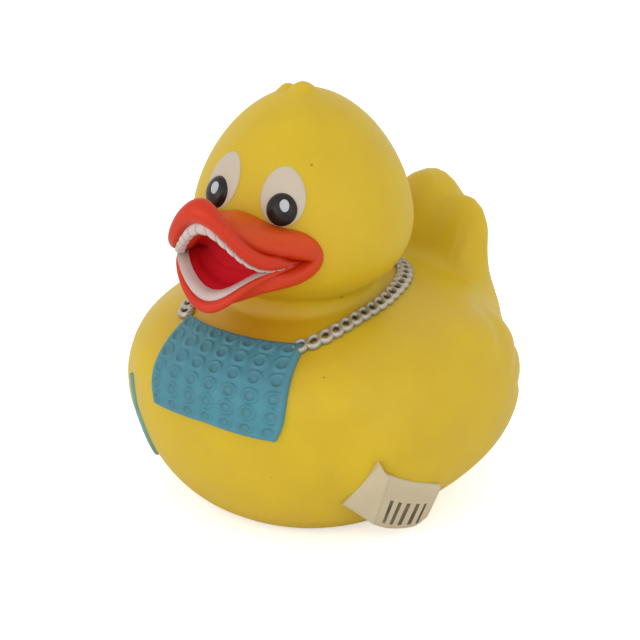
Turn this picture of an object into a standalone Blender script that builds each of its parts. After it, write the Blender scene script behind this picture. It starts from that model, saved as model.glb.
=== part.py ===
"""A moulded vinyl bath duck with a dental theme, cast hollow in one piece.

Metres, +Z up. The duck faces -Y and its left wing is on +X. The origin is on
the floor under the middle of the hull.

The skin is one smooth blend of rounded forms: hull, wings, tail, head and knob.
Each form gives a signed value at a point, negative inside. The skin is found
where rays from the middle of the hull and of the head meet that blend, so
every relief on it (bill, eyes, bib, chain, packet, toothbrush) is seated by
casting rays onto the same blend.
"""

import bmesh
import bpy
import numpy as np
from mathutils import Matrix, Vector

# Hull: a round tub, wide at the shoulders, with a flat base
HULL_CENTRE = (0.0, 0.0004, 0.0290)
HULL_HALF = (0.0332, 0.0374, 0.0136)
HULL_DEPTH = 0.0348
HULL_FULLNESS = 2.25

# Wings: a pod on each side, with feather tips at its rear end
WING_CENTRE = (0.0229, 0.0009, 0.0223)
WING_HALF = (0.0139, 0.0257, 0.0166)
WING_FULLNESS = 2.35
WING_PITCH = 7.2
WING_YAW = -1.2
FEATHER_ANGLES = (46.0, 18.0, -10.0)
FEATHER_GROOVE_WIDTH = 0.0013
FEATHER_GROOVE_DEPTH = 0.0011
FEATHER_GROOVE_START = 0.55
WING_BLEND = 0.0020

# Tail: a broad root that carries three feathers
TAIL_LEAN = -17.5
TAIL_ROOT_CENTRE = (0.0, 0.0312, 0.0295)
TAIL_ROOT_HALF = (0.0187, 0.0106, 0.0284)
TAIL_ROOT_TAPER = 0.35
TAIL_FEATHER_CENTRE = (0.0, 0.0320, 0.0456)
TAIL_FEATHER_HALF = (0.0068, 0.0050, 0.0124)
TAIL_FEATHER_SPREAD = 0.0082
TAIL_FEATHER_DROP = 0.0040
TAIL_FEATHER_ROLL = 8.0
TAIL_FEATHER_BLEND = 0.0008
TAIL_ROOT_BLEND = 0.0050
TAIL_BLEND = 0.0060

# Head: an egg, small end up
HEAD_CENTRE = (0.0, -0.0049, 0.0582)
HEAD_HALF = (0.0204, 0.0214, 0.0232)
HEAD_DEPTH = 0.0170
HEAD_TAPER = 0.14
NECK_BLEND = 0.0025
FACE_TURN = 4.0

# Knob on the crown: a bump and a smaller one beside it
KNOB_RADIUS = 0.0024
KNOB_RISE = 0.0014
KNOB_SMALL_RADIUS = 0.0015
KNOB_GAP = 0.0036

# Neck: a short wide pod inside the crease, and the slope of the crease's plane
NECK_CENTRE = (0.0, -0.0040, 0.0425)
NECK_SLOPE = 0.08
NECK_HALF = (0.0142, 0.0172, 0.0052)
HULL_FAN_CENTRE = (0.0, 0.0030, 0.0220)

# Wall, base and vent
WALL = 0.0022
VENT_DIAMETER = 0.0030
VENT_Y = 0.0060

# Bill: rings from the root in the head, over the lip, and down into the mouth.
# Each ring: half width, y of its corners, reach forward from them, z of its
# corners, half height of its cheeks, z of its top and z of its bottom.
# Y is measured from the head's axis.
BILL_RINGS = (
    (0.0120, -0.0090, 0.0050, 0.0550, 0.0030, 0.0610, 0.0490),
    (0.0150, -0.0132, 0.0070, 0.0550, 0.0046, 0.0620, 0.0462),
    (0.0158, -0.0155, 0.0090, 0.0552, 0.0042, 0.0630, 0.0452),
    (0.0146, -0.0172, 0.0110, 0.0549, 0.0026, 0.0636, 0.0453),
    (0.0142, -0.0180, 0.0136, 0.0546, 0.0022, 0.0676, 0.0446),
    (0.0132, -0.0186, 0.0148, 0.0544, 0.0015, 0.0662, 0.0453),
    (0.0120, -0.0182, 0.0138, 0.0542, 0.0008, 0.0632, 0.0475),
    (0.0108, -0.0176, 0.0126, 0.0542, 0.0005, 0.0602, 0.0505),
    (0.0095, -0.0165, 0.0100, 0.0542, 0.0004, 0.0590, 0.0513),
    (0.0050, -0.0130, 0.0060, 0.0543, 0.0003, 0.0565, 0.0528),
)
BILL_FULLNESS = 0.16
BILL_CHEEK_POWER = 0.8
BILL_TOP_POWER = 4.0
BILL_BOTTOM_POWER = 2.6
MOUTH_START = 0.76

# Eyes: a raised oval, with a round pupil standing on its lower half
EYE_TURN = 23.0
EYE_RISE = 23.0
EYE_HALF = (0.0046, 0.0068)
EYE_RELIEF = 0.0006
PUPIL_DROP = 0.0024
PUPIL_HALF = (0.0031, 0.0033)
PUPIL_RELIEF = 0.0016
GLINT_HALF = (0.0010, 0.0011)
GLINT_RELIEF = 0.0019
GLINT_OFFSET = (0.0006, 0.0008)

# Bib: a cloth moulded on the chest
BIB_TOP_MIDDLE = 0.0008
BIB_TOP_HALF = 0.0124
BIB_TOP_Z = 0.0392
BIB_BOTTOM_MIDDLE = 0.0026
BIB_BOTTOM_HALF = 0.0134
BIB_BOTTOM_Z = 0.0262
BIB_THICKNESS = 0.0009
BIB_HEM = 0.0005

# Packet under the left wing: a slab on the flank that faces out and down
PACKET_CENTRE = (0.0269, -0.0106, 0.0094)
PACKET_SIZE = (0.0050, 0.0172, 0.0125)
PACKET_AZIMUTH = 55.0
PACKET_ELEVATION = -29.0
PACKET_ROLL = 38.0
PACKET_ROUND = 0.0011

# Toothbrush upright on the right flank
BRUSH_TURN = -46.0
BRUSH_TOP_Z = 0.0270
BRUSH_BOTTOM_Z = 0.0105
BRUSH_HEAD_LENGTH = 0.0090
BRUSH_HEAD_HALF = 0.0024
BRUSH_HANDLE_HALF = 0.0008
BRUSH_RELIEF = 0.0009

# Depth to which every relief is sunk in the wall, to be moulded with it
SINK = 0.0009

# Facets
BILL_COLUMNS = 32
BILL_ROWS = 16
SKIN_COLUMNS = 52
HULL_ROWS = 22
HEAD_ROWS = 15
CAVITY_COLUMNS = 26
CAVITY_HULL_ROWS = 11
CAVITY_HEAD_ROWS = 8
RAY_STEP = 0.0025
RAY_REACH = 0.0750

# Colours, roughness and metallic value of each painted area
PALETTE = {
    "vinyl_yellow": ((0.66, 0.45, 0.035), 0.42, 0.0),
    "bill_red": ((0.60, 0.07, 0.02), 0.38, 0.0),
    "mouth_red": ((0.42, 0.01, 0.02), 0.40, 0.0),
    "tooth_white": ((0.62, 0.50, 0.46), 0.45, 0.0),
    "eye_white": ((0.55, 0.49, 0.38), 0.45, 0.0),
    "eye_black": ((0.012, 0.010, 0.009), 0.25, 0.0),
    "bib_teal": ((0.06, 0.28, 0.35), 0.50, 0.0),
    "chain_silver": ((0.36, 0.35, 0.30), 0.38, 0.6),
    "packet_cream": ((0.60, 0.52, 0.36), 0.50, 0.0),
    "brush_teal": ((0.12, 0.38, 0.38), 0.50, 0.0),
}


def clear_scene():
    """Remove every object that the file opened with."""
    for item in list(bpy.data.objects):
        bpy.data.objects.remove(item, do_unlink=True)


def make_palette():
    """One Principled material for each painted area, in a fixed order."""
    made = []
    for name, (colour, roughness, metallic) in PALETTE.items():
        material = bpy.data.materials.new(name)
        material.use_nodes = True
        shader = material.node_tree.nodes["Principled BSDF"]
        shader.inputs["Base Color"].default_value = (*colour, 1.0)
        shader.inputs["Roughness"].default_value = roughness
        shader.inputs["Metallic"].default_value = metallic
        material.diffuse_color = (*colour, 1.0)
        made.append(material)
    return made


def turned(pitch=0.0, yaw=0.0, roll=0.0):
    """Rotation matrix: roll about Y, then pitch about X, then yaw about Z."""
    steps = ((yaw, "Z"), (pitch, "X"), (roll, "Y"))
    matrix = Matrix.Identity(3)
    for degrees, axis in steps:
        matrix = matrix @ Matrix.Rotation(np.radians(degrees), 3, axis)
    return np.array(matrix)


def pod(points, centre, half, rotation=None, fullness=2.0, taper=0.0, depth=None):
    """Signed value of a rounded form, along the ray from its centre.

    The form is a superellipsoid. Its sides draw in by the taper towards the
    top, and depth is its half height below the centre where that differs.
    """
    local = points - np.array(centre)
    if rotation is not None:
        local = local @ rotation
    height = half[2] if depth is None else np.where(local[..., 2] > 0, half[2], depth)
    narrow = 1.0 - taper * np.clip(local[..., 2] / half[2], -1.0, 1.0)
    scaled = (
        np.abs(local[..., 0] / (half[0] * narrow)) ** fullness
        + np.abs(local[..., 1] / (half[1] * narrow)) ** fullness
        + np.abs(local[..., 2] / height) ** fullness
    ) ** (1.0 / fullness)
    scaled = np.maximum(scaled, 1e-6)
    length = np.maximum(np.linalg.norm(local, axis=-1), 1e-8)
    return length * (1.0 - 1.0 / scaled)


def blend(first, second, radius):
    """Union of two signed values, with a fillet of about the radius."""
    share = np.clip(0.5 + 0.5 * (second - first) / radius, 0.0, 1.0)
    return second * (1.0 - share) + first * share - radius * share * (1.0 - share)


def wing_value(points):
    """The wing pod, with grooves that part the feathers at its rear end.

    In the wing's own side view, each groove is a ray from the pod's centre.
    It starts part of the way out and deepens towards the rim.
    """
    rotation = turned(WING_PITCH, WING_YAW)
    value = pod(points, WING_CENTRE, WING_HALF, rotation, WING_FULLNESS)
    local = (points - np.array(WING_CENTRE)) @ rotation
    along = local[..., 1] / WING_HALF[1]
    up = local[..., 2] / WING_HALF[2]
    reach = np.hypot(along, up)
    angle = np.arctan2(up, along)
    deepen = np.clip((reach - FEATHER_GROOVE_START) / (1.0 - FEATHER_GROOVE_START), 0.0, 1.0)
    for degrees in FEATHER_ANGLES:
        across = (angle - np.radians(degrees)) * reach * WING_HALF[2]
        groove = np.exp(-((across / FEATHER_GROOVE_WIDTH) ** 2))
        value = value + FEATHER_GROOVE_DEPTH * groove * deepen
    return value


def tail_value(points):
    """Three upturned feathers on a broad root; points are mirrored to +X."""
    x, y, z = TAIL_FEATHER_CENTRE
    middle = pod(points, TAIL_FEATHER_CENTRE, TAIL_FEATHER_HALF, turned(TAIL_LEAN))
    side_centre = (TAIL_FEATHER_SPREAD, y, z - TAIL_FEATHER_DROP)
    side_turn = turned(TAIL_LEAN, 0.0, TAIL_FEATHER_ROLL)
    side = pod(points, side_centre, TAIL_FEATHER_HALF, side_turn)
    root = pod(
        points, TAIL_ROOT_CENTRE, TAIL_ROOT_HALF, turned(TAIL_LEAN), taper=TAIL_ROOT_TAPER
    )
    return blend(blend(middle, side, TAIL_FEATHER_BLEND), root, TAIL_ROOT_BLEND)


def knob_value(points):
    """A round bump on the crown, and a smaller one beside it."""
    crown = HEAD_CENTRE[2] + HEAD_HALF[2]
    large = (0.0, HEAD_CENTRE[1], crown + KNOB_RISE - KNOB_RADIUS)
    small = (-KNOB_GAP, HEAD_CENTRE[1], crown + 0.3 * KNOB_RISE - KNOB_SMALL_RADIUS)
    first = pod(points, large, (KNOB_RADIUS,) * 3)
    second = pod(points, small, (KNOB_SMALL_RADIUS,) * 3)
    return np.minimum(first, second)


def duck_value(points):
    """Signed value of the whole duck: negative inside, zero on its skin."""
    mirrored = points * 1.0
    mirrored[..., 0] = np.abs(mirrored[..., 0])
    hull = pod(mirrored, HULL_CENTRE, HULL_HALF, None, HULL_FULLNESS, depth=HULL_DEPTH)
    body = blend(hull, wing_value(mirrored), WING_BLEND)
    body = blend(body, tail_value(mirrored), TAIL_BLEND)
    head = pod(mirrored, HEAD_CENTRE, HEAD_HALF, taper=HEAD_TAPER, depth=HEAD_DEPTH)
    head = blend(head, knob_value(points), KNOB_RISE)
    body = blend(body, pod(mirrored, NECK_CENTRE, NECK_HALF), NECK_BLEND)
    return blend(body, head, NECK_BLEND)


def meet(starts, directions, value=duck_value):
    """Where each ray first crosses the skin, by steps and then by halving."""
    shape = directions.shape[:-1]
    starts = np.broadcast_to(starts, directions.shape)
    inside = value(starts) < 0
    near = np.zeros(shape)
    far = np.full(shape, RAY_REACH)
    found = np.zeros(shape, bool)
    for distance in np.arange(RAY_STEP, RAY_REACH, RAY_STEP):
        crossed = ((value(starts + directions * distance) < 0) != inside) & ~found
        near = np.where(crossed, distance - RAY_STEP, near)
        far = np.where(crossed, distance, far)
        found |= crossed
    for _ in range(14):
        middle = 0.5 * (near + far)
        same = (value(starts + directions * middle[..., None]) < 0) == inside
        near = np.where(same, middle, near)
        far = np.where(same, far, middle)
    return starts + directions * far[..., None]


def outward(points, value=duck_value):
    """Unit normal of the skin at points, by central differences."""
    step = 0.0002
    slopes = []
    for axis in range(3):
        shift = np.zeros(3)
        shift[axis] = step
        slopes.append(value(points + shift) - value(points - shift))
    normals = np.stack(slopes, -1)
    return normals / np.linalg.norm(normals, axis=-1, keepdims=True)


def aim(azimuth, elevation):
    """Unit directions; azimuth 0 looks along -Y and turns towards +X."""
    return np.stack(
        [
            np.sin(azimuth) * np.cos(elevation),
            -np.cos(azimuth) * np.cos(elevation),
            np.sin(elevation) + 0.0 * azimuth,
        ],
        -1,
    )


def neck_crease(columns, value=duck_value):
    """Points of the crease between head and hull."""
    azimuth = np.linspace(0.0, 2.0 * np.pi, columns, endpoint=False)
    directions = aim(azimuth, 0.0 * azimuth)
    directions[:, 2] = NECK_SLOPE * directions[:, 1]
    directions /= np.linalg.norm(directions, axis=-1, keepdims=True)
    return meet(np.array(NECK_CENTRE), directions, value)


def fan(centre, crease, pole, rows, value):
    """Rows of skin points between the crease and straight down or up.

    The rays start at the centre and swing evenly from the crease to the pole.
    """
    reach = crease - np.array(centre)
    azimuth = np.arctan2(reach[:, 0], -reach[:, 1])
    rise = np.arctan2(reach[:, 2], np.hypot(reach[:, 0], reach[:, 1]))
    share = np.linspace(0.0, 1.0, rows + 1)[1:, None]
    elevation = rise + share * (pole * np.pi / 2.0 - rise)
    azimuth = np.broadcast_to(azimuth, elevation.shape)
    return meet(np.array(centre), aim(azimuth, elevation), value)


def skin_rings(columns, hull_rows, head_rows, floor, value=duck_value):
    """Rings of the skin from the base to the crown, flat at the floor."""
    crease = neck_crease(columns, value)
    hull = fan(HULL_FAN_CENTRE, crease, -1.0, hull_rows, value)[::-1]
    head = fan(HEAD_CENTRE, crease, 1.0, head_rows, value)
    rings = np.concatenate([hull[1:], crease[None], head[:-1]])
    rings[..., 2] = np.maximum(rings[..., 2], floor)
    return rings


def add_loft(build, rings, index, cyclic=False):
    """Add a closed surface through rings of equal length to a bmesh.

    The ends are closed with one face each, or joined to each other when the
    loft is cyclic. index is the material's number, or one for each row.
    """
    count, around = rings.shape[:2]
    spans = count if cyclic else count - 1
    numbers = np.broadcast_to(np.array(index), (spans,)).tolist()
    verts = [[build.verts.new(point) for point in ring] for ring in rings.tolist()]
    for row in range(spans):
        above = verts[(row + 1) % count]
        for column in range(around):
            after = (column + 1) % around
            corners = (verts[row][column], verts[row][after], above[after], above[column])
            build.faces.new(corners).material_index = numbers[row]
    if not cyclic:
        build.faces.new(verts[0][::-1]).material_index = numbers[0]
        build.faces.new(verts[-1]).material_index = numbers[-1]


def make_object(name, build, palette):
    """Close a bmesh as an object with every painted area's material."""
    bmesh.ops.recalc_face_normals(build, faces=build.faces)
    mesh = bpy.data.meshes.new(name)
    build.to_mesh(mesh)
    build.free()
    for material in palette:
        mesh.materials.append(material)
    item = bpy.data.objects.new(name, mesh)
    bpy.context.collection.objects.link(item)
    return item


def loft_object(name, lofts, palette):
    """One object from lofts that lie clear of each other."""
    build = bmesh.new()
    for loft in lofts:
        add_loft(build, *loft)
    return make_object(name, build, palette)


def as_tool(item):
    """Mark an object as a shape that is only joined to the duck or cut from it."""
    item.hide_render = True
    item.display_type = "WIRE"
    return item


def face_point(azimuth, elevation):
    """Skin points on the head; azimuth 0 is the middle of the turned face."""
    turn = np.radians(FACE_TURN)
    return meet(np.array(HEAD_CENTRE), aim(azimuth + turn, elevation))


def bill_rings(angles, count):
    """Rings of the bill, drawn smoothly through BILL_RINGS.

    On a ring, angle 0 is the left corner of the mouth, 90 degrees the middle
    of the upper lip and 270 degrees the middle of the lower lip. The cheeks
    puff out near the corners, and both lips rise or drop late, towards the
    middle of the mouth.
    """
    keys = np.array(BILL_RINGS)
    place = np.linspace(0.0, len(keys) - 1.0, count)
    sizes = smooth_through(keys, place)
    width, corner_y, forward, corner_z, cheek, top_z, bottom_z = sizes.T[:, :, None]
    cosine = np.cos(angles)
    sine = np.sin(angles)
    swell = np.abs(sine)
    x = width * cosine * (1.0 + BILL_FULLNESS * sine**2)
    y = corner_y - forward * swell * (1.0 + BILL_FULLNESS * cosine**2)
    puff = cheek * swell**BILL_CHEEK_POWER
    rise = puff + (top_z - corner_z - cheek) * swell**BILL_TOP_POWER
    drop = puff + (corner_z - cheek - bottom_z) * swell**BILL_BOTTOM_POWER
    z = corner_z + np.where(sine > 0, rise, -drop)
    turn = turned(yaw=FACE_TURN)
    flat = np.stack(np.broadcast_arrays(x, y, 0.0 * z), -1) @ turn.T
    flat[..., 1] += HEAD_CENTRE[1]
    flat[..., 2] = z
    return flat


def smooth_through(keys, place):
    """Values of a Catmull-Rom curve through the keys, at fractional places."""
    padded = np.concatenate([2 * keys[:1] - keys[1:2], keys, 2 * keys[-1:] - keys[-2:-1]])
    index = np.minimum(place.astype(int), len(keys) - 2)
    t = (place - index)[:, None]
    a, b, c, d = (padded[index + step] for step in range(4))
    return 0.5 * (
        2 * b + (c - a) * t + (2 * a - 5 * b + 4 * c - d) * t**2 + (3 * b - a - 3 * c + d) * t**3
    )


def bill_loft(names):
    """The bill from root to mouth; past MOUTH_START its faces are mouth red."""
    angles = np.linspace(0.0, 2.0 * np.pi, BILL_COLUMNS, endpoint=False)
    rings = bill_rings(angles, BILL_ROWS)
    place = np.arange(BILL_ROWS - 1) / BILL_ROWS
    return rings, np.where(place < MOUTH_START, names["bill_red"], names["mouth_red"])


def oval_loft(centre, half, relief, index, around=14, rows=3):
    """A raised oval on the face, crowned like a lens.

    centre is an azimuth and an elevation in radians, and half is the half
    width and half height in metres.
    """
    angle = np.linspace(0.0, 2.0 * np.pi, around, endpoint=False)
    share = np.sqrt(np.linspace(0.04, 1.0, rows))[:, None]
    across = half[0] * np.cos(angle) * share / (HEAD_HALF[1] * np.cos(centre[1]))
    up = half[1] * np.sin(angle) * share / HEAD_HALF[1]
    skin = face_point(centre[0] + across, centre[1] + up)
    normal = outward(skin)
    crown = relief * np.sqrt(1.0 - (0.96 * share) ** 2)
    top = skin + normal * crown[..., None]
    base = skin[-1:] - normal[-1:] * SINK
    return np.concatenate([top, base]), index


def eye_lofts(names):
    """For both eyes: the raised ovals, the pupils and the glints on them."""
    ovals = []
    pupils = []
    glints = []
    radius = HEAD_HALF[1]
    rise = np.radians(EYE_RISE)
    low = rise - PUPIL_DROP / radius
    for side in (1.0, -1.0):
        azimuth = side * np.radians(EYE_TURN)
        glint = (azimuth + GLINT_OFFSET[0] / radius, low + GLINT_OFFSET[1] / radius)
        ovals.append(oval_loft((azimuth, rise), EYE_HALF, EYE_RELIEF, names["eye_white"]))
        pupils.append(oval_loft((azimuth, low), PUPIL_HALF, PUPIL_RELIEF, names["eye_black"]))
        glints.append(
            oval_loft(glint, GLINT_HALF, GLINT_RELIEF, names["eye_white"], around=8, rows=2)
        )
    return ovals, pupils, glints


def bib_point(across, down):
    """Chest point at shares of the bib: across -1 to 1, down 0 to 1."""
    half = BIB_TOP_HALF + (BIB_BOTTOM_HALF - BIB_TOP_HALF) * down
    middle = BIB_TOP_MIDDLE + (BIB_BOTTOM_MIDDLE - BIB_TOP_MIDDLE) * down
    z = BIB_TOP_Z + (BIB_BOTTOM_Z - BIB_TOP_Z) * down
    x, z = np.broadcast_arrays(middle + half * across, z)
    starts = np.stack([x, np.full_like(x, -RAY_REACH), z], -1)
    return meet(starts, np.broadcast_to(np.array([0.0, 1.0, 0.0]), starts.shape))


def bib_loft(names):
    """The cloth: a slab that follows the chest, a little thicker at its hem."""
    across = np.linspace(-1.0, 1.0, 13)[:, None]
    down = np.linspace(0.0, 1.0, 9)[None, :]
    skin = bib_point(across, down)
    normal = outward(skin)
    at_hem = (np.abs(across) == 1.0) | (down == 0.0) | (down == 1.0)
    front = skin + normal * (BIB_THICKNESS + BIB_HEM * at_hem)[..., None]
    back = skin - normal * SINK
    return np.concatenate([front, back[:, ::-1]], 1), names["bib_teal"]


def packet_axes():
    """Columns: the way the packet faces, its long side and its short side."""
    azimuth = np.radians(PACKET_AZIMUTH)
    elevation = np.radians(PACKET_ELEVATION)
    roll = np.radians(PACKET_ROLL)
    facing = aim(azimuth, elevation)
    level = np.array([np.cos(azimuth), np.sin(azimuth), 0.0])
    upright = np.cross(facing, level)
    long_side = level * np.cos(roll) - upright * np.sin(roll)
    short_side = np.cross(facing, long_side)
    return np.stack([facing, long_side, short_side], -1)


def make_packet(palette, names):
    """A round-edged packet that leans out with the flank, foot to the floor."""
    build = bmesh.new()
    rotation = Matrix(packet_axes().tolist()).to_4x4()
    place = Matrix.Translation(Vector(PACKET_CENTRE)) @ rotation
    size = Matrix.Diagonal((*PACKET_SIZE, 1.0))
    bmesh.ops.create_cube(build, size=1.0, matrix=place @ size)
    bmesh.ops.bevel(
        build, geom=build.edges[:], offset=PACKET_ROUND, segments=2, affect="EDGES", profile=0.5
    )
    for vertex in build.verts:
        vertex.co.z = max(vertex.co.z, 0.0)
    bmesh.ops.dissolve_degenerate(build, edges=build.edges[:], dist=1e-6)
    for face in build.faces:
        face.material_index = names["packet_cream"]
    return make_object("packet", build, palette)


def flank_point(across, z):
    """Skin point of the right flank, across metres sideways of the brush's line."""
    turn = np.radians(BRUSH_TURN)
    out = np.array([np.sin(turn), -np.cos(turn), 0.0])
    side = np.array([np.cos(turn), np.sin(turn), 0.0])
    across, z = np.broadcast_arrays(across, z)
    starts = side * across[..., None] + out * RAY_REACH
    starts = starts + np.stack([0.0 * z, 0.0 * z, z], -1)
    return meet(starts, np.broadcast_to(-out, starts.shape))


def brush_loft(names):
    """Handle and head of the toothbrush as one flat strip on the flank."""
    z = np.linspace(BRUSH_TOP_Z, BRUSH_BOTTOM_Z, 13)
    share = np.clip((BRUSH_BOTTOM_Z + BRUSH_HEAD_LENGTH - z) / BRUSH_HEAD_LENGTH, 0.0, 1.0)
    swell = np.sqrt(np.clip(4.0 * share * (1.0 - share), 0.0, 1.0))
    half = BRUSH_HANDLE_HALF + (BRUSH_HEAD_HALF - BRUSH_HANDLE_HALF) * swell
    across = half[:, None] * np.array([-1.0, -0.6, 0.6, 1.0])
    skin = flank_point(across, z[:, None])
    normal = outward(skin)
    front = skin + normal * BRUSH_RELIEF * np.array([0.4, 1.0, 1.0, 0.4])[:, None]
    back = skin - normal * SINK
    return np.concatenate([front, back[:, ::-1]], 1), names["brush_teal"]


def skin_loft(names):
    """The duck's outer skin."""
    return skin_rings(SKIN_COLUMNS, HULL_ROWS, HEAD_ROWS, 0.0), names["vinyl_yellow"]


def cavity_loft(names):
    """The hollow inside: the same skin, one wall further in."""

    def inner_value(points):
        return duck_value(points) + WALL

    rings = skin_rings(CAVITY_COLUMNS, CAVITY_HULL_ROWS, CAVITY_HEAD_ROWS, WALL, inner_value)
    return rings, names["vinyl_yellow"]


def vent_loft(names):
    """The vent through the base, which reaches into the hollow."""
    angle = np.linspace(0.0, 2.0 * np.pi, 12, endpoint=False)
    radius = 0.5 * VENT_DIAMETER
    circle = np.stack([radius * np.cos(angle), VENT_Y + radius * np.sin(angle), 0.0 * angle], -1)
    lift = np.array([0.0, 0.0, WALL])
    return np.array([circle - lift, circle + 2.0 * lift]), names["vinyl_yellow"]


def combine(body, tool, operation):
    """Join a shape to the body, or cut it away, with an exact Boolean."""
    modifier = body.modifiers.new(tool.name, "BOOLEAN")
    modifier.operation = operation
    modifier.object = as_tool(tool)
    modifier.solver = "EXACT"
    modifier.use_self = False


def shade(body):
    """Smooth shading with sharp edges kept where relief meets the skin."""
    body.data.shade_smooth()
    body.data.set_sharp_from_angle(angle=np.radians(45.0))


def build_duck():
    """Make the casting: the skin, everything moulded on it, and the hollow."""
    clear_scene()
    palette = make_palette()
    names = {name: index for index, name in enumerate(PALETTE)}
    duck = loft_object("duck", [skin_loft(names)], palette)
    shade(duck)
    ovals, pupils, glints = eye_lofts(names)
    moulded = {
        "bill": [bill_loft(names)],
        "eye_ovals": ovals,
        "pupils": pupils,
        "glints": glints,
        "bib": [bib_loft(names)],
        "brush": [brush_loft(names)],
    }
    for name, lofts in moulded.items():
        combine(duck, loft_object(name, lofts, palette), "UNION")
    combine(duck, make_packet(palette, names), "UNION")
    combine(duck, loft_object("cavity", [cavity_loft(names)], palette), "DIFFERENCE")
    combine(duck, loft_object("vent", [vent_loft(names)], palette), "DIFFERENCE")


build_duck()
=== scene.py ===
"""The looks of a moulded vinyl bath duck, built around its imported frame.

Metres, +Z up. The duck faces -Y and its left wing is on +X, as in the frame.

The skin is one smooth blend of rounded forms: hull, wings, tail, neck, head
and knob. Each form gives a signed value at a point, negative inside. Every
surface here is a grid of points: rays are cast onto that blend, and relief
stands off it along its normal.
"""

import bpy
import numpy as np
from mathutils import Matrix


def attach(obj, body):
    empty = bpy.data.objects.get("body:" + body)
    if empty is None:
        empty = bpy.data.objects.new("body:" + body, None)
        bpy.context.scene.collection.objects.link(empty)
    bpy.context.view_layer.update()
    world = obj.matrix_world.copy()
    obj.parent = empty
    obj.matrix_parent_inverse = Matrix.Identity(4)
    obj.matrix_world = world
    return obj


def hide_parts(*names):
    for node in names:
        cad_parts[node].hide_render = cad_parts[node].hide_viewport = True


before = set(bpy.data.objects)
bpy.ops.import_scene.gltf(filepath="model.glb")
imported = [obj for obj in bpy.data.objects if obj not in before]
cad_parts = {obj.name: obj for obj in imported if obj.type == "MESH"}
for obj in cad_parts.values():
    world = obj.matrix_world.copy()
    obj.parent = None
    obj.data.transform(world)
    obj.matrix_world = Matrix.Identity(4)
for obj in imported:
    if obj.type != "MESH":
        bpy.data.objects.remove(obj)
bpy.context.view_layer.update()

# Camera: the photograph's viewing angle, in degrees, and its framing
VIEW_TURN = 37.7
VIEW_RISE = 21.2
VIEW_DISTANCE = 0.4615
VIEW_TARGET = (0.0, 0.0, 0.040)
VIEW_LENS = 135.0
VIEW_SHIFT = (0.0016, -0.0464)

# Hull: a round tub, wide at the shoulders, with a flat base
HULL_CENTRE = (0.0, 0.0004, 0.0290)
HULL_HALF = (0.0332, 0.0374, 0.0136)
HULL_DEPTH = 0.0348
HULL_FULLNESS = 2.25
BASE_ROUND = 0.0020

# Wings: a pod on each side, with feather tips at its rear end
WING_CENTRE = (0.0229, 0.0009, 0.0223)
WING_HALF = (0.0139, 0.0257, 0.0166)
WING_FULLNESS = 2.35
WING_PITCH = 7.2
WING_YAW = -1.2
FEATHER_ANGLES = (46.0, 18.0, -10.0)
FEATHER_GROOVE_WIDTH = 0.0013
FEATHER_GROOVE_DEPTH = 0.0011
FEATHER_GROOVE_START = 0.55
WING_BLEND = 0.0020

# Tail: a broad root that carries three feathers
TAIL_LEAN = -17.5
TAIL_ROOT_CENTRE = (0.0, 0.0312, 0.0295)
TAIL_ROOT_HALF = (0.0187, 0.0106, 0.0262)
TAIL_ROOT_TAPER = 0.35
TAIL_FEATHER_CENTRE = (0.0, 0.0318, 0.0430)
TAIL_FEATHER_HALF = (0.0076, 0.0050, 0.0124)
TAIL_FEATHER_SPREAD = 0.0086
TAIL_FEATHER_DROP = 0.0030
TAIL_FEATHER_ROLL = 8.0
TAIL_FEATHER_BLEND = 0.0008
TAIL_ROOT_BLEND = 0.0034
TAIL_BLEND = 0.0060

# Head: an egg, small end up, on a short wide neck
HEAD_CENTRE = (0.0, -0.0049, 0.0582)
HEAD_HALF = (0.0204, 0.0214, 0.0232)
HEAD_DEPTH = 0.0170
HEAD_TAPER = 0.14
NECK_CENTRE = (0.0, -0.0040, 0.0425)
NECK_HALF = (0.0128, 0.0155, 0.0052)
NECK_SLOPE = 0.08
NECK_BLEND = 0.0025
FACE_TURN = 4.0

# Knob on the crown: a bump and a smaller one beside it
KNOB_RADIUS = 0.0024
KNOB_RISE = 0.0014
KNOB_SMALL_RADIUS = 0.0015
KNOB_GAP = 0.0036

# Where the rays that find the skin start
HULL_FAN_CENTRE = (0.0, 0.0060, 0.0220)
HULL_FAN_SLIDE = 0.0200
RAY_STEP = 0.0020
RAY_REACH = 0.0640
RAY_HALVINGS = 15
NORMAL_STEP = 0.0002

# Vent in the base
VENT_DIAMETER = 0.0030
VENT_DEPTH = 0.0020

# Bill: curves round the open mouth. Each gives the half width, the y and z of
# its corners, the height of its cheeks, how late its middle rises, how blunt it
# is in plan, and the reach and rise of its upper and of its lower half.
# Y is measured from the head's axis.
BILL_FACE_CURVES = (
    (0.0110, -0.0060, 0.0556, 0.0030, 3.6, 1.5, 0.0050, 0.0055, 0.0036, 0.0050),
    (0.0140, -0.0130, 0.0560, 0.0050, 9.0, 1.5, 0.0074, 0.0075, 0.0040, 0.0080),
    (0.0146, -0.0154, 0.0560, 0.0052, 9.0, 1.2, 0.0088, 0.0084, 0.0064, 0.0080),
    (0.0138, -0.0174, 0.0556, 0.0038, 6.0, 1.0, 0.0108, 0.0094, 0.0096, 0.0078),
)
GUM_CURVE = (0.0112, -0.0188, 0.0555, 0.0, 4.4, 0.87, 0.0133, 0.0092, 0.0122, 0.0059)
BITE_CURVE = (0.0106, -0.0182, 0.0552, -0.0005, 4.4, 0.87, 0.0132, 0.0070, 0.0113, 0.0041)
THROAT_CURVES = (
    (0.0097, -0.0190, 0.0552, 0.0002, 4.0, 0.87, 0.0100, 0.0066, 0.0084, 0.0042),
    (0.0088, -0.0199, 0.0552, 0.0006, 2.4, 0.92, 0.0050, 0.0056, 0.0046, 0.0040),
    (0.0070, -0.0206, 0.0552, 0.0006, 2.0, 0.95, 0.0018, 0.0034, 0.0016, 0.0022),
)
CHEEK_RADIUS = 0.0048
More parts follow.
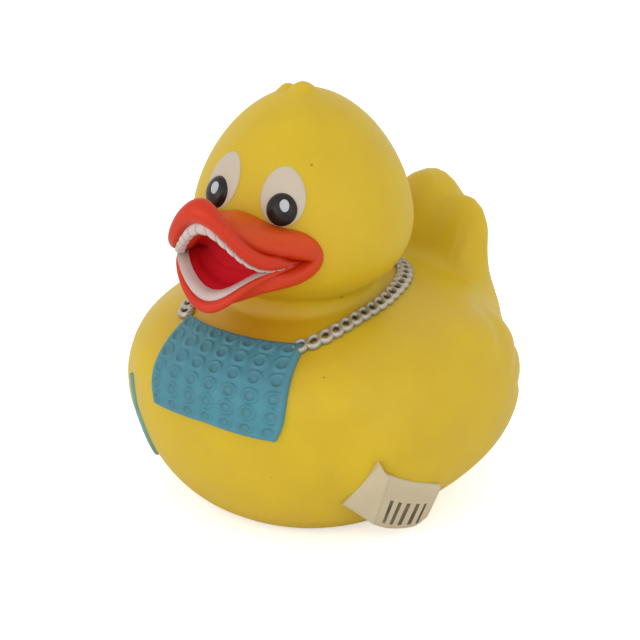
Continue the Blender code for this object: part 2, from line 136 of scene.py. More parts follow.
LIP_ANGLES = (150.0, 110.0, 70.0, 30.0, -10.0, -50.0, -80.0)
LIP_UPPER = (0.0023, 0.0011)
LIP_LOWER = (0.0012, 0.0005)
LIP_CORNER = 0.0009

# Teeth on the gum line. Each band gives its first and last angle round the
# mouth, and how deep its joints are scalloped.
TOOTH_PITCH = 0.0023
TOOTH_RELIEF = 0.0009
TOOTH_NOTCH = 0.22
TOOTH_THICKNESS = 0.0005
TOOTH_BACK = (1.0, 0.9, 0.4, -0.25)
TOOTH_COLUMNS = 420
UPPER_TEETH = (3.0, 177.0, 0.5)
LOWER_TEETH = (198.0, 342.0, 0.06)
TOOTH_SECTION = ((-0.25, -0.6), (0.0, 0.4), (0.2, 0.9), (0.5, 1.0), (0.8, 0.9), (0.97, 0.4), (1.0, -0.3))

# Eyes
EYE_PLACES = (("left", 23.0, 24.6), ("right", -18.5, 27.0))
EYE_HALF = (0.0043, 0.0057)
EYE_RELIEF = 0.0005
PUPIL_DROP = 0.0025
PUPIL_HALF = (0.0029, 0.0031)
PUPIL_RELIEF = 0.0016
GLINT_HALF = (0.0009, 0.0012)
GLINT_RELIEF = 0.0003
GLINT_OFFSET = (0.0006, 0.0006)

# Bib: a cloth moulded on the chest, with rows of raised ovals
BIB_TOP_MIDDLE = 0.0013
BIB_TOP_HALF = 0.0129
BIB_TOP_Z = 0.0392
BIB_BOTTOM_MIDDLE = 0.0029
BIB_BOTTOM_HALF = 0.0131
BIB_BOTTOM_Z = 0.0262
BIB_THICKNESS = 0.0009
BIB_EDGE = 0.0006
BIB_HEM = 0.0003
BIB_HEM_PLACE = 0.0007
BIB_SWELL = 0.0014
BIB_SHIFT = 0.0010
BIB_TILT = 0.0014
BIB_CURL = 1.4
BIB_RAY_Y = -0.0500
BIB_COLUMNS = 230
BIB_ROWS = 200
OVAL_COLUMNS = 7
OVAL_ROWS = 6
OVAL_REACH = (0.30, 0.36)
OVAL_RIDGE = 0.09
OVAL_RELIEF = 0.00042
OVAL_MARGIN = 0.0008
OVAL_WEAR = 0.6

# Chain: guide points of its left half in plan, then its links
CHAIN_GUIDE = (
    (0.0128, -0.0243),
    (0.0146, -0.0216),
    (0.0159, -0.0166),
    (0.0163, -0.0089),
    (0.0157, -0.0003),
    (0.0130, 0.0090),
    (0.0090, 0.0156),
    (0.0046, 0.0190),
    (0.0, 0.0200),
)
CHAIN_BASE_Z = 0.0300
CHAIN_STEPS = 400
LINK_PITCH = 0.0027
LINK_LENGTH = 0.0040
LINK_WIDTH = 0.0031
LINK_WIRE = 0.0011
LINK_SLANT = 32.0

# Packet under the left wing: its outer corners, low and high, at its front end,
# at the edge that stands out most and at its rear end, and its depth in the hull
PACKET_EDGES = (
    ((0.0230, -0.0229, 0.0097), (0.0320, -0.0230, 0.0210)),
    ((0.0264, -0.0194, 0.0060), (0.0325, -0.0220, 0.0189)),
    ((0.0270, -0.0180, 0.0047), (0.0329, -0.0209, 0.0179)),
    ((0.0272, -0.0132, 0.0020), (0.0342, -0.0162, 0.0154)),
    ((0.0296, -0.0093, 0.0016), (0.0353, -0.0110, 0.0132)),
    ((0.0309, -0.0072, 0.0029), (0.0356, -0.0087, 0.0123)),
)
PACKET_DEPTH = 0.0060
PACKET_ROOT = (0.0, 0.0, 0.0150)
PACKET_SQUARENESS = 7.0
PACKET_GRID = 240

# On the packet, places are counted along its edges and heights are shares
PACKET_FOLD = 1.9
PACKET_FOLD_WIDTH = 0.07
PACKET_BARS = (2.45, 2.85, 3.25, 3.65, 4.05)
BAR_HALF_WIDTH = 0.085
BAR_MIDDLE = 0.36
BAR_HALF_HEIGHT = 0.22

# Toothbrush upright on the right flank
BRUSH_TURN = -35.0
BRUSH_TOP_Z = 0.0270
BRUSH_BOTTOM_Z = 0.0105
BRUSH_HEAD_LENGTH = 0.0090
BRUSH_HEAD_HALF = 0.0024
BRUSH_HANDLE_HALF = 0.0006
BRUSH_RELIEF = 0.0007
BRUSH_RAY_START = 0.0600

# How deep raised pieces are sunk in the skin, and the angle that counts as sharp
SINK = 0.0009
SURFACE_SHARPNESS = 50.0

# Grids
SKIN_COLUMNS = 300
HULL_ROWS = 150
HEAD_ROWS = 110
BILL_COLUMNS = 240
BILL_ROWS = 150

# Studio: the floor lies just under the base, so that the two share no plane.
# Each lamp gives its place, its size and its power.
FLOOR_HALF = 3.0
FLOOR_Z = -0.0001
FLOOR_SEEN = 0.55
WORLD_LIGHT = 0.82
LAMPS = (
    ("key", (0.10, -0.95, 0.45), 0.9, 1.8),
    ("fill", (0.95, -0.20, 0.25), 0.9, 1.6),
    ("low", (-0.30, -0.90, 0.12), 0.6, 1.6),
)


def turned(pitch=0.0, yaw=0.0, roll=0.0):
    """Rotation matrix: roll about Y, then pitch about X, then yaw about Z."""
    a, b, c = np.radians((yaw, pitch, roll))
    about_z = np.array([[np.cos(a), -np.sin(a), 0.0], [np.sin(a), np.cos(a), 0.0], [0.0, 0.0, 1.0]])
    about_x = np.array([[1.0, 0.0, 0.0], [0.0, np.cos(b), -np.sin(b)], [0.0, np.sin(b), np.cos(b)]])
    about_y = np.array([[np.cos(c), 0.0, np.sin(c)], [0.0, 1.0, 0.0], [-np.sin(c), 0.0, np.cos(c)]])
    return about_z @ about_x @ about_y


def pod(points, centre, half, rotation=None, fullness=2.0, taper=0.0, depth=None):
    """Signed value of a superellipsoid, along the ray from its centre.

    The length from the centre is divided by the superellipsoid's own scale
    there. The sides draw in by the taper towards the top, and depth is the
    half height below the centre where that differs.
    """
    local = points - np.array(centre)
    if rotation is not None:
        local = local @ rotation
    height = half[2] if depth is None else np.where(local[..., 2] > 0, half[2], depth)
    narrow = 1.0 - taper * np.clip(local[..., 2] / half[2], -1.0, 1.0)
    scaled = (
        np.abs(local[..., 0] / (half[0] * narrow)) ** fullness
        + np.abs(local[..., 1] / (half[1] * narrow)) ** fullness
        + np.abs(local[..., 2] / height) ** fullness
    ) ** (1.0 / fullness)
    scaled = np.maximum(scaled, 1e-6)
    length = np.maximum(np.linalg.norm(local, axis=-1), 1e-8)
    return length * (1.0 - 1.0 / scaled)


def blend(first, second, radius):
    """Union of two signed values, with a fillet of about the radius."""
    share = np.clip(0.5 + 0.5 * (second - first) / radius, 0.0, 1.0)
    return second * (1.0 - share) + first * share - radius * share * (1.0 - share)


def wing_value(points):
    """The wing pod, with grooves that part the feathers at its rear end.

    In the wing's own side view, each groove is a ray from the pod's centre.
    It starts part of the way out and deepens towards the rim.
    """
    rotation = turned(WING_PITCH, WING_YAW)
    value = pod(points, WING_CENTRE, WING_HALF, rotation, WING_FULLNESS)
    local = (points - np.array(WING_CENTRE)) @ rotation
    along = local[..., 1] / WING_HALF[1]
    up = local[..., 2] / WING_HALF[2]
    reach = np.hypot(along, up)
    angle = np.arctan2(up, along)
    deepen = np.clip((reach - FEATHER_GROOVE_START) / (1.0 - FEATHER_GROOVE_START), 0.0, 1.0)
    for degrees in FEATHER_ANGLES:
        across = (angle - np.radians(degrees)) * reach * WING_HALF[2]
        groove = np.exp(-((across / FEATHER_GROOVE_WIDTH) ** 2))
        value = value + FEATHER_GROOVE_DEPTH * groove * deepen
    return value


def tail_value(points):
    """Three upturned feathers on a broad root; points are mirrored to +X."""
    y, z = TAIL_FEATHER_CENTRE[1:]
    middle = pod(points, TAIL_FEATHER_CENTRE, TAIL_FEATHER_HALF, turned(TAIL_LEAN))
    side_centre = (TAIL_FEATHER_SPREAD, y, z - TAIL_FEATHER_DROP)
    side_turn = turned(TAIL_LEAN, 0.0, TAIL_FEATHER_ROLL)
    side = pod(points, side_centre, TAIL_FEATHER_HALF, side_turn)
    root = pod(points, TAIL_ROOT_CENTRE, TAIL_ROOT_HALF, turned(TAIL_LEAN), taper=TAIL_ROOT_TAPER)
    return blend(blend(middle, side, TAIL_FEATHER_BLEND), root, TAIL_ROOT_BLEND)


def knob_value(points):
    """A round bump on the crown, and a smaller one beside it."""
    crown = HEAD_CENTRE[2] + HEAD_HALF[2]
    large = (0.0, HEAD_CENTRE[1], crown + KNOB_RISE - KNOB_RADIUS)
    small = (-KNOB_GAP, HEAD_CENTRE[1], crown + 0.3 * KNOB_RISE - KNOB_SMALL_RADIUS)
    first = pod(points, large, (KNOB_RADIUS,) * 3)
    second = pod(points, small, (KNOB_SMALL_RADIUS,) * 3)
    return np.minimum(first, second)


def duck_value(points):
    """Signed value of the whole duck, cut flat at the floor with a round rim."""
    mirrored = points.copy()
    mirrored[..., 0] = np.abs(mirrored[..., 0])
    hull = pod(mirrored, HULL_CENTRE, HULL_HALF, None, HULL_FULLNESS, depth=HULL_DEPTH)
    body = blend(hull, wing_value(mirrored), WING_BLEND)
    body = blend(body, tail_value(mirrored), TAIL_BLEND)
    head = pod(mirrored, HEAD_CENTRE, HEAD_HALF, taper=HEAD_TAPER, depth=HEAD_DEPTH)
    head = blend(head, knob_value(points), KNOB_RISE)
    body = blend(body, pod(mirrored, NECK_CENTRE, NECK_HALF), NECK_BLEND)
    whole = blend(body, head, NECK_BLEND)
    return -blend(-whole, points[..., 2], BASE_ROUND)


def meet(starts, directions, value=duck_value):
    """Where each ray first crosses the skin, by steps and then by halving."""
    starts = np.broadcast_to(starts, directions.shape)
    inside = value(starts) < 0
    close = np.zeros(directions.shape[:-1])
    far = np.full(directions.shape[:-1], RAY_REACH)
    found = np.zeros(directions.shape[:-1], bool)
    for distance in np.arange(RAY_STEP, RAY_REACH, RAY_STEP):
        crossed = ((value(starts + directions * distance) < 0) != inside) & ~found
        close = np.where(crossed, distance - RAY_STEP, close)
        far = np.where(crossed, distance, far)
        found |= crossed
    for _ in range(RAY_HALVINGS):
        middle = 0.5 * (close + far)
        same = (value(starts + directions * middle[..., None]) < 0) == inside
        close = np.where(same, middle, close)
        far = np.where(same, far, middle)
    return starts + directions * far[..., None]


def outward(points, value=duck_value):
    """Unit normal of the skin at points, by central differences."""
    slopes = []
    for axis in range(3):
        shift = np.zeros(3)
        shift[axis] = NORMAL_STEP
        slopes.append(value(points + shift) - value(points - shift))
    normals = np.stack(slopes, -1)
    return normals / np.linalg.norm(normals, axis=-1, keepdims=True)


def aim(azimuth, elevation):
    """Unit directions; azimuth 0 looks along -Y and turns towards +X."""
    flat = np.cos(elevation)
    x = np.sin(azimuth) * flat
    y = -np.cos(azimuth) * flat
    return np.stack(np.broadcast_arrays(x, y, np.sin(elevation)), -1)


def neck_crease(columns):
    """Points of the crease between head and hull."""
    azimuth = np.linspace(0.0, 2.0 * np.pi, columns, endpoint=False)
    directions = aim(azimuth, 0.0 * azimuth)
    directions[:, 2] = NECK_SLOPE * directions[:, 1]
    directions /= np.linalg.norm(directions, axis=-1, keepdims=True)
    return meet(np.array(NECK_CENTRE), directions)


def fan(centre, slide, crease, pole, rows):
    """Rows of skin points between the crease and straight down or up.

    The rays swing evenly from the crease to the pole. Towards the tail their
    starts slide out from the centre, so that none grazes the tail's front.
    """
    reach = crease - np.array(centre)
    azimuth = np.arctan2(reach[:, 0], -reach[:, 1])
    back = 0.5 - 0.5 * np.cos(azimuth)
    share = np.linspace(0.0, 1.0, rows + 1)[1:, None]
    fade = np.clip(2.0 - 2.0 * share, 0.0, 1.0)
    rise = np.arctan2(reach[:, 2], np.hypot(reach[:, 0], reach[:, 1]) - slide * back**2)
    elevation = rise + share * (pole * np.pi / 2.0 - rise)
    starts = np.array(centre) + aim(azimuth, 0.0 * azimuth) * (slide * back**2 * fade)[..., None]
    return meet(starts, aim(azimuth, elevation))


def skin_rings(columns, hull_rows, head_rows):
    """Rings of the skin from the vent in the base to the crown."""
    crease = neck_crease(columns)
    hull = fan(HULL_FAN_CENTRE, HULL_FAN_SLIDE, crease, -1.0, hull_rows)[::-1]
    head = fan(HEAD_CENTRE, 0.0, crease, 1.0, head_rows)
    rings = np.concatenate([hull[1:], crease[None], head[:-1]])
    spin = np.arctan2(rings[3, :, 0], -(rings[3, :, 1] - HULL_FAN_CENTRE[1]))
    vent = aim(spin, 0.0 * spin) * 0.5 * VENT_DIAMETER
    vent += np.array([0.0, HULL_FAN_CENTRE[1], 0.0])
    lift = np.array([0.0, 0.0, VENT_DEPTH])
    outside = np.linalg.norm(rings[:, 0, :2] - np.array(HULL_FAN_CENTRE[:2]), axis=-1)
    first = int(np.argmax(outside > 1.3 * VENT_DIAMETER))
    return np.concatenate([(vent + lift)[None], vent[None], rings[first:]])


def make_mesh(name, points, faces, material, attributes=None):
    """A smooth object from points and faces, with values kept at its points."""
    mesh = bpy.data.meshes.new(name)
    mesh.from_pydata(points.reshape(-1, 3).tolist(), [], faces)
    for label, values in (attributes or {}).items():
        layer = mesh.attributes.new(label, "FLOAT", "POINT")
        layer.data.foreach_set("value", np.asarray(values, np.float32).ravel())
    mesh.materials.append(material)
    mesh.shade_smooth()
    mesh.set_sharp_from_angle(angle=np.radians(SURFACE_SHARPNESS))
    piece = bpy.data.objects.new(name, mesh)
    bpy.context.collection.objects.link(piece)
    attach(piece, "root")
    return piece


def grid_faces(rows, columns, wrap_rows=False, wrap_columns=True, start=0):
    """Quads of a grid of points numbered row by row, wrapped where asked."""
    down = rows if wrap_rows else rows - 1
    across = columns if wrap_columns else columns - 1
    row, column = np.meshgrid(np.arange(down), np.arange(across), indexing="ij")
    below = (row + 1) % rows
    after = (column + 1) % columns
    this = row * columns
    following = below * columns
    corners = (this + column, this + after, following + after, following + column)
    return (np.stack(corners, -1).reshape(-1, 4) + start).tolist()


def closed_faces(rows, columns, start=0):
    """Quads of rings that close round, with one face over each end."""
    last = start + (rows - 1) * columns
    ends = [list(range(start, start + columns))[::-1], list(range(last, last + columns))]
    return grid_faces(rows, columns, start=start) + ends


def face_out(piece):
    """Turn the faces of a closed piece outwards if its volume is negative."""
    mesh = piece.data
    mesh.calc_loop_triangles()
    count = len(mesh.vertices)
    points = np.empty(count * 3, np.float32)
    mesh.vertices.foreach_get("co", points)
    corners = np.empty(len(mesh.loop_triangles) * 3, np.int32)
    mesh.loop_triangles.foreach_get("vertices", corners)
    a, b, c = points.reshape(-1, 3)[corners].reshape(-1, 3, 3).transpose(1, 0, 2)
    if np.sum(a * np.cross(b, c)) < 0:
        mesh.flip_normals()
    return piece


def bill_curve(sizes, angles):
    """One curve round the mouth; angle 0 is its left corner, 90 its upper middle.

    Across it is a cosine. Its reach is a power of the sine. Its height is the
    cheek, which rises as a quarter circle, and the rest, which rises late.
    """
    width, corner_y, corner_z, cheek, late, blunt = sizes[:6]
    upper_reach, upper_rise, lower_reach, lower_drop = sizes[6:]
    upper = np.sin(angles) > 0
    swell = np.abs(np.sin(angles))
    reach = np.where(upper, upper_reach, lower_reach)
    height = np.where(upper, upper_rise, lower_drop)
    into = np.clip((1.0 - np.abs(np.cos(angles))) * width / CHEEK_RADIUS, 0.0, 1.0)
    rise = cheek * np.sqrt(into * (2.0 - into)) + (height - cheek) * swell**late
    y = corner_y - reach * swell**blunt
    z = corner_z + np.where(upper, rise, -rise)
    return np.stack([width * np.cos(angles), y, z], -1)


def lip_curve(turn, angles):
    """The lip's round profile at one turn, carried along the gum line.

    The radius is largest in the middle of each lip. Turn 0 is the lip's
    front, 90 degrees its crest, and -90 the side that meets the teeth. The
    crest swings to the rear at the corners, where both lips run into one.
    """
    points = bill_curve(GUM_CURVE, angles)
    sine = np.sin(angles)
    swell = np.abs(sine)
    middle = np.where(sine > 0, LIP_UPPER[0], LIP_LOWER[0])
    side = np.where(sine > 0, LIP_UPPER[1], LIP_LOWER[1])
    radius = side + (middle - side) * swell**2
    near_corner = np.clip(swell / 0.35, 0.0, 1.0) ** 2
    radius = LIP_CORNER + (radius - LIP_CORNER) * near_corner
    out = np.stack([np.cos(angles) * GUM_CURVE[6], -swell * GUM_CURVE[0]], -1)
    out /= np.linalg.norm(out, axis=-1, keepdims=True)
    crest = np.clip(2.5 * sine, -1.0, 1.0)
    points[:, :2] += out * (radius * (np.cos(turn) + 0.05))[:, None]
    points[:, 1] += radius * (np.sin(turn) + 0.97) * np.sqrt(1.0 - crest**2)
    points[:, 2] += radius * (np.sin(turn) + 0.97) * crest
    return points


def on_face(points):
    """Turn points of the bill with the face and move them to the head's axis."""
    moved = points @ turned(yaw=FACE_TURN).T
    moved[..., 1] += HEAD_CENTRE[1]
    return moved


def smooth_through(keys, place):
    """Values of a Catmull-Rom curve through the keys, at fractional places."""
    padded = np.concatenate([2 * keys[:1] - keys[1:2], keys, 2 * keys[-1:] - keys[-2:-1]])
    index = np.minimum(place.astype(int), len(keys) - 2)
    t = (place - index)[:, None, None]
    a, b, c, d = (padded[index + step] for step in range(4))
    return 0.5 * (
        2 * b + (c - a) * t + (2 * a - 5 * b + 4 * c - d) * t**2 + (3 * b - a - 3 * c + d) * t**3
    )


def bill_rings(angles, rows):
    """Rings from the bill's root in the head, over the lips, into the throat.

    The second array is each ring's place: the lips' inner edge is the whole
    number of curves before the gum line.
    """
    curves = [bill_curve(sizes, angles) for sizes in BILL_FACE_CURVES]
    curves += [lip_curve(np.radians(turn), angles) for turn in LIP_ANGLES]
    curves += [bill_curve(sizes, angles) for sizes in (GUM_CURVE, *THROAT_CURVES)]
    keys = np.array(curves)
    place = np.linspace(0.0, len(keys) - 1.0, rows)
    return on_face(smooth_through(keys, place)), place


def make_bill(material):
    """The bill: cheeks, culmen and lips, and the mouth behind the teeth.

    The paint turns from orange at the root to red on the lips. Past the gum
    line it is crimson below and orange on the palate.
    """
    angles = np.linspace(0.0, 2.0 * np.pi, BILL_COLUMNS, endpoint=False)
    rings, place = bill_rings(angles, BILL_ROWS)
    gum = len(BILL_FACE_CURVES) + len(LIP_ANGLES)
    upper = np.clip(np.sin(angles), 0.0, 1.0)
    root = 1.0 - np.clip((place - 2.0) / 2.2, 0.0, 1.0)[:, None]
    orange = root * (0.30 + 0.70 * upper**2)
    inside = np.clip((place - gum) * 6.0, 0.0, 1.0)[:, None] + 0.0 * angles
    palate = np.clip(upper * 3.0, 0.0, 1.0) * np.clip(1.5 - 0.7 * (place - gum), 0.0, 1.0)[:, None]
    values = {"orange": orange, "inside": inside, "palate": inside * palate}
    return face_out(make_mesh("bill", rings, closed_faces(*rings.shape[:2]), material, values))


def make_teeth(name, first, last, scallop, material):
    """A band of teeth between the gum line and the bite.

    The outer face bulges between the teeth's joints, and the band's inner
    face is the same section moved back by its thickness.
    """
    angles = np.radians(np.linspace(first, last, TOOTH_COLUMNS))
    gum = bill_curve(GUM_CURVE, angles)
    bite = bill_curve(BITE_CURVE, angles)
    along = np.concatenate([[0.0], np.cumsum(np.linalg.norm(np.diff(gum, axis=0), axis=-1))])
    count = max(1, round(along[-1] / TOOTH_PITCH))
    wave = np.abs(np.sin(np.pi * count * along / along[-1]))
    bulge = TOOTH_RELIEF * (1.0 - scallop + scallop * np.sqrt(wave))
    out = np.stack([np.cos(angles) * 0.6, -np.abs(np.sin(angles)), 0.0 * angles], -1)
    out /= np.linalg.norm(out, axis=-1, keepdims=True)
    notch = 1.0 - scallop * TOOTH_NOTCH * (1.0 - wave) ** 2
    rows = []
    for share, proud in TOOTH_SECTION:
        down = (share * notch)[:, None]
        rows.append(gum + (bite - gum) * down + out * (bulge * proud)[:, None])
    for share in TOOTH_BACK:
        rows.append(gum + (bite - gum) * (share * notch)[:, None] - out * TOOTH_THICKNESS)
    loops = np.array(rows).transpose(1, 0, 2)
    faces = closed_faces(*loops.shape[:2])
    joint = np.repeat(scallop * np.clip(1.0 - 2.2 * wave, 0.0, 1.0), loops.shape[1])
    return face_out(make_mesh(name, on_face(loops), faces, material, {"joint": joint}))


def face_point(azimuth, elevation):
    """Skin points on the head; azimuth 0 is the middle of the turned face."""
    return meet(np.array(HEAD_CENTRE), aim(azimuth + np.radians(FACE_TURN), elevation))


def make_dome(name, centre, half, relief, base, material):
    """A raised oval on the face, crowned like a lens, with its back sunk in."""
    angle = np.linspace(0.0, 2.0 * np.pi, 96, endpoint=False)
    share = np.linspace(0.03, 1.0, 28)[:, None]
    radius = HEAD_HALF[1]
    across = half[0] * np.cos(angle) * share / (radius * np.cos(centre[1]))
    up = half[1] * np.sin(angle) * share / radius
    skin = face_point(centre[0] + across, centre[1] + up)
    normal = outward(skin)
    height = base + relief * np.sqrt(1.0 - (0.995 * share) ** 2)
    top = skin + normal * height[..., None]
    back = skin[-1:] - normal[-1:] * SINK
    rings = np.concatenate([top, back])
    rim = np.repeat(np.append(share[:, 0], 1.0), len(angle))
    piece = make_mesh(name, rings, closed_faces(*rings.shape[:2]), material, {"rim": rim})
    return face_out(piece)


def make_eyes(white, black, glint):
    """Both eyes: a raised oval, a domed pupil and the painted glint on it."""
    radius = HEAD_HALF[1]
    for name, turn, lift in EYE_PLACES:
        azimuth = np.radians(turn)
        rise = np.radians(lift)
        low = rise - PUPIL_DROP / radius
        spot = (azimuth + GLINT_OFFSET[0] / radius, low + GLINT_OFFSET[1] / radius)
        make_dome("eye_" + name, (azimuth, rise), EYE_HALF, EYE_RELIEF, 0.0, white)
        make_dome("pupil_" + name, (azimuth, low), PUPIL_HALF, PUPIL_RELIEF, 0.0002, black)
        make_dome("glint_" + name, spot, GLINT_HALF, GLINT_RELIEF, PUPIL_RELIEF, glint)


def bib_point(across, down):
    """Chest point at shares of the bib: across -1 to 1, down 0 to 1."""
    height = down**BIB_CURL
    half = BIB_TOP_HALF + (BIB_BOTTOM_HALF - BIB_TOP_HALF) * height
    half = half + BIB_SWELL * 4.0 * height * (1.0 - height)
    middle = BIB_TOP_MIDDLE + (BIB_BOTTOM_MIDDLE - BIB_TOP_MIDDLE) * height
    middle = middle + BIB_SHIFT * 4.0 * height * (1.0 - height)
    z = BIB_TOP_Z + (BIB_BOTTOM_Z - BIB_TOP_Z) * height
    z = z - BIB_TILT * height * np.clip(across, 0.0, 1.0)
    x, z = np.broadcast_arrays(middle + half * across, z)
    starts = np.stack([x, np.full_like(x, BIB_RAY_Y), z], -1)
    return meet(starts, np.broadcast_to(np.array([0.0, 1.0, 0.0]), starts.shape))


def make_bib(material):
    """The cloth on the chest: a slab with a soft hem and rings of ovals.

    The height off the skin is the thickness, which falls away over the edges,
    plus a ridge where the distance to an oval's centre is near the oval's size.
    The ridges are worn lower towards the upper right corner of the chest.
    """
    across = np.linspace(-1.0, 1.0, BIB_COLUMNS)[:, None]
    down = np.linspace(0.0, 1.0, BIB_ROWS)[None, :]
    skin = bib_point(across, down)
    normal = outward(skin)
    column = (across + 1.0) / 2.0 * OVAL_COLUMNS
    row = down * (OVAL_ROWS + 0.3) - 0.15
    to_column = (column % 1.0 - 0.5) / OVAL_REACH[0]
    to_row = (row % 1.0 - 0.5) / OVAL_REACH[1]
    ring = np.hypot(to_column, to_row) - 1.0
    ridge = np.exp(-((ring * OVAL_REACH[0] / OVAL_RIDGE) ** 2))
    to_side = (1.0 - np.abs(across)) * BIB_TOP_HALF
    depth = BIB_TOP_Z - BIB_BOTTOM_Z
    to_end = np.minimum(down, 1.0 - down) * depth * 1.3
    edge = np.minimum(to_side, to_end)
    clear = np.clip((edge - OVAL_MARGIN) / BIB_EDGE, 0.0, 1.0)
    worn = OVAL_WEAR * np.clip(0.3 - across, 0.0, 1.0) * np.clip(0.9 - down, 0.0, 1.0)
    ridge = ridge * ((row > 0.0) & (row < OVAL_ROWS)) * clear * (1.0 - worn)
    fall = np.sqrt(np.clip(1.0 - (1.0 - np.clip(edge / BIB_EDGE, 0.0, 1.0)) ** 2, 0.0, 1.0))
    hem = BIB_HEM * np.exp(-(((edge - BIB_HEM_PLACE) / BIB_EDGE) ** 2))
    height = (BIB_THICKNESS + hem) * fall + OVAL_RELIEF * ridge
    front = skin + normal * height[..., None]
    back = skin - normal * SINK
    loops = np.concatenate([front, back[:, ::-1]], 1)
    # painted shade in the hollow of each oval, and painted shade and dirt along the top edge
    inside = np.exp(-(((ring + 0.42) / 0.35) ** 2)) * (row > 0.0) * (row < OVAL_ROWS)
    top_edge = np.exp(-((to_end / 0.0016) ** 2)) * (down < 0.5)
    shade_and_dirt = np.clip(0.35 * inside + 0.8 * top_edge, 0.0, 1.0)
    shade_and_dirt = np.concatenate([shade_and_dirt, 0.0 * shade_and_dirt], 1)
    faces = closed_faces(*loops.shape[:2])
    return face_out(make_mesh("bib", loops, faces, material, {"shade_and_grime": shade_and_dirt}))


def chain_path():
    """Evenly spaced points of the chain, cast up onto the hull's top."""
    half = np.array(CHAIN_GUIDE)
    other = half[-2::-1] * np.array([-1.0, 1.0])
    guide = np.concatenate([half, other])[:, None, :]
    plan = smooth_through(guide, np.linspace(0.0, len(guide) - 1.0, CHAIN_STEPS))[:, 0]
    starts = np.concatenate([plan, np.full((len(plan), 1), CHAIN_BASE_Z)], 1)
    path = meet(starts, np.broadcast_to(np.array([0.0, 0.0, 1.0]), starts.shape))
    length = np.concatenate([[0.0], np.cumsum(np.linalg.norm(np.diff(path, axis=0), axis=1))])
    count = int(length[-1] // LINK_PITCH)
    places = (np.arange(count) + 0.5) * length[-1] / count
    return np.stack([np.interp(places, length, path[:, axis]) for axis in range(3)], -1)


def make_chain(material):
    """Oval links laid slantwise along the path, each a ring of round wire."""
    path = chain_path()
    along = np.gradient(path, axis=0)
    along /= np.linalg.norm(along, axis=-1, keepdims=True)
    normal = outward(path)
    normal -= along * np.sum(normal * along, -1, keepdims=True)
    normal /= np.linalg.norm(normal, axis=-1, keepdims=True)
    side = np.cross(normal, along)
    slant = np.radians(LINK_SLANT)
    around = np.linspace(0.0, 2.0 * np.pi, 28, endpoint=False)[:, None]
    wire = np.linspace(0.0, 2.0 * np.pi, 12, endpoint=False)[None, :]
    reach = 0.5 * LINK_WIRE * np.cos(wire)
    flat = (0.5 * LINK_LENGTH - 0.5 * LINK_WIRE + reach) * np.cos(around)
    wide = (0.5 * LINK_WIDTH - 0.5 * LINK_WIRE + reach) * np.sin(around)
    high = 0.7 * LINK_WIRE * np.sin(wire) + 0.0 * around + 0.35 * LINK_WIRE
    long_axis = along * np.cos(slant) + side * np.sin(slant)
    short_axis = np.cross(normal, long_axis)
    points = (
        path[:, None, None]
        + flat[None, ..., None] * long_axis[:, None, None]
        + wide[None, ..., None] * short_axis[:, None, None]
        + high[None, ..., None] * normal[:, None, None]
    )
    # painted shade: each wire darker on its side towards the skin and inside the link
    shade = 0.5 - 0.5 * np.sin(wire) + 0.4 * np.clip(-np.cos(wire), 0.0, 1.0)
    wire_shade = np.broadcast_to(np.clip(shade, 0.0, 1.0) ** 2, (len(path), around.size, wire.size))
    faces = []
    size = around.size * wire.size
    for number in range(len(path)):
        faces += grid_faces(around.size, wire.size, wrap_rows=True, start=number * size)
    return face_out(make_mesh("chain", points, faces, material, {"wire_shade": wire_shade}))


def make_packet(material):
    """The packet: squarish sections carried along its outer and inner edges.

    A section is a squircle laid between its four corners. The corners follow
    smooth curves from the front end over the edge that stands out most.
    """
    edges = np.array(PACKET_EDGES)
    inward = np.array(PACKET_ROOT) - edges
    inward /= np.linalg.norm(inward, axis=-1, keepdims=True)
    corners = np.stack([edges, edges + inward * PACKET_DEPTH], 1)
    place = np.linspace(0.0, len(edges) - 1.0, PACKET_GRID)
    flat = smooth_through(corners.reshape(len(edges), 4, 3), place)
    low_out, high_out, low_in, high_in = flat.transpose(1, 0, 2)[:, :, None]
    angle = np.linspace(0.0, 2.0 * np.pi, PACKET_GRID, endpoint=False)
    power = PACKET_SQUARENESS
    bulge = (np.abs(np.cos(angle)) ** power + np.abs(np.sin(angle)) ** power) ** (-1.0 / power)
    deep = (0.5 + 0.5 * bulge * np.cos(angle))[None, :, None]
    high = (0.5 + 0.5 * bulge * np.sin(angle))[None, :, None]
    outer = low_out * (1.0 - high) + high_out * high
    inner = low_in * (1.0 - high) + high_in * high
    rings = outer * (1.0 - deep) + inner * deep
    rings[..., 2] = np.maximum(rings[..., 2], 0.0)
    tall = (0.5 + 0.5 * bulge * np.sin(angle))[None, :]
    front = (np.cos(angle) < -0.2)[None, :]
    printed = 0.0 * place[:, None] * tall
    for bar in PACKET_BARS:
        beside = np.abs(place[:, None] - bar) < BAR_HALF_WIDTH
        printed += beside * (np.abs(tall - BAR_MIDDLE) < BAR_HALF_HEIGHT) * front
    # painted shade: a dark line along the fold between the packet's two faces
    fold_shade = np.exp(-(((place[:, None] - PACKET_FOLD) / PACKET_FOLD_WIDTH) ** 2)) * front
    values = {"print": np.clip(printed, 0.0, 1.0), "fold_shade": 0.5 * fold_shade + 0.0 * tall}
    return face_out(make_mesh("packet", rings, closed_faces(*rings.shape[:2]), material, values))


def flank_point(across, z):
    """Skin point of the right flank, across metres sideways of the brush's line."""
    turn = np.radians(BRUSH_TURN)
    out = np.array([np.sin(turn), -np.cos(turn), 0.0])
    side = np.array([np.cos(turn), np.sin(turn), 0.0])
    across, z = np.broadcast_arrays(across, z)
    starts = side * across[..., None] + out * BRUSH_RAY_START
    starts = starts + np.stack([0.0 * z, 0.0 * z, z], -1)
    return meet(starts, np.broadcast_to(-out, starts.shape))


